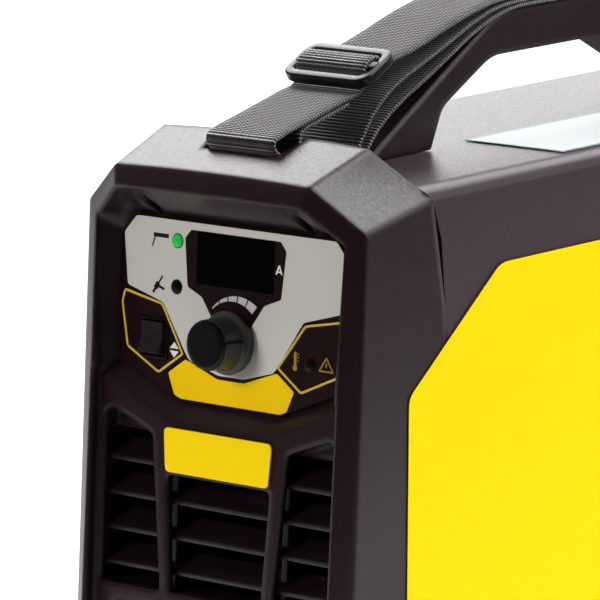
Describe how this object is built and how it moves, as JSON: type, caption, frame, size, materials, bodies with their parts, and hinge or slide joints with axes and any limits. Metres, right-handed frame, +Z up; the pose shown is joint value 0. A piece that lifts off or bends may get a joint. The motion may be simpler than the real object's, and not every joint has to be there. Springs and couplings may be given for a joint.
{
  "type": "stick welding inverter",
  "caption": "Portable welding power source with a sloped control panel, output sockets, louvred front, folded steel cover, arched carry handle and shoulder strap.",
  "frame": {"origin": "centre of the bounding box at the underside of the feet", "axes": "+Z up, front with the controls faces -Y, +X to the right of someone facing the front"},
  "size_m": [0.1542, 0.44, 0.3045],
  "materials": {
    "plastic": "fine moulded texture",
    "louvre": "moulded",
    "panel": "printed film",
    "window": "clear dark",
    "black": "moulded",
    "steel": "zinc plated",
    "chassis": "galvanised sheet",
    "alloy": "extruded",
    "led_green": "diffused lens, lit",
    "led_dark": "diffused lens, unlit",
    "yellow": "printed film",
    "brass": "machined",
    "board": "solder resist",
    "cover": "fine textured powder coat",
    "label": "blank film",
    "webbing": "woven polypropylene",
    "rubber": "moulded",
    "ferrite": "sintered",
    "copper": "enamelled wire",
    "can": "sleeved can"
  },
  "bodies": {
    "case": {"front_bezel": "plastic", "rear_bezel": "plastic", "handle": "plastic", "louvre_insert": "louvre", "control_panel": "panel", "display_window": "window", "mode_switch_body": "black", "socket_negative_body": "black", "socket_positive_body": "black", "strap_slider": "black", "power_switch_body": "black", "gland_body": "black", "gland_nut": "black", "fan_frame": "black", "front_screw_left": "steel", "front_screw_right": "steel", "handle_bolt_front": "steel", "handle_bolt_rear": "steel", "strap_bar_front": "steel", "strap_bar_rear": "steel", "fan_guard": "steel", "chassis_tray": "chassis", "current_pot": "alloy", "heat_sink_left": "alloy", "heat_sink_right": "alloy", "led_stick": "led_green", "led_tig": "led_dark", "led_fault": "led_dark", "badge_plate": "yellow", "side_film_left": "yellow", "side_film_right": "yellow", "socket_negative_insert": "brass", "socket_positive_insert": "brass", "control_board": "board", "main_board": "board", "top_cover": "cover", "top_label": "label", "shoulder_strap": "webbing", "foot_front_left": "rubber", "foot_front_right": "rubber", "foot_rear_left": "rubber", "foot_rear_right": "rubber", "transformer_core": "ferrite", "transformer_winding": "copper", "output_choke": "copper", "bulk_capacitor_1": "can", "bulk_capacitor_2": "can", "bulk_capacitor_3": "can"},
    "knob": {"current_knob": "black", "knob_shaft": "steel"},
    "mode_rocker_body": {"mode_rocker": "black"},
    "power_rocker_body": {"power_rocker": "black"},
    "fan": {"fan_rotor": "black"}
  },
  "joints": [
    {"name": "current_knob_turn", "type": "hinge", "parent": "case", "child": "knob", "pos_m": [0, -0.19354, 0.177], "axis": [0, -0.9968, 0.0797], "range_deg": [-135, 135]},
    {"name": "mode_rocker_tilt", "type": "hinge", "parent": "case", "child": "mode_rocker_body", "pos_m": [-0.0435, -0.19378, 0.174], "axis": [1, 0, 0], "range_deg": [0, 22]},
    {"name": "power_rocker_tilt", "type": "hinge", "parent": "case", "child": "power_rocker_body", "pos_m": [-0.03, 0.194, 0.183], "axis": [-1, 0, 0], "range_deg": [0, 22]},
    {"name": "fan_spin", "type": "hinge", "parent": "case", "child": "fan", "pos_m": [0, 0.1777, 0.096], "axis": [0, 1, 0], "continuous": true}
  ]
}
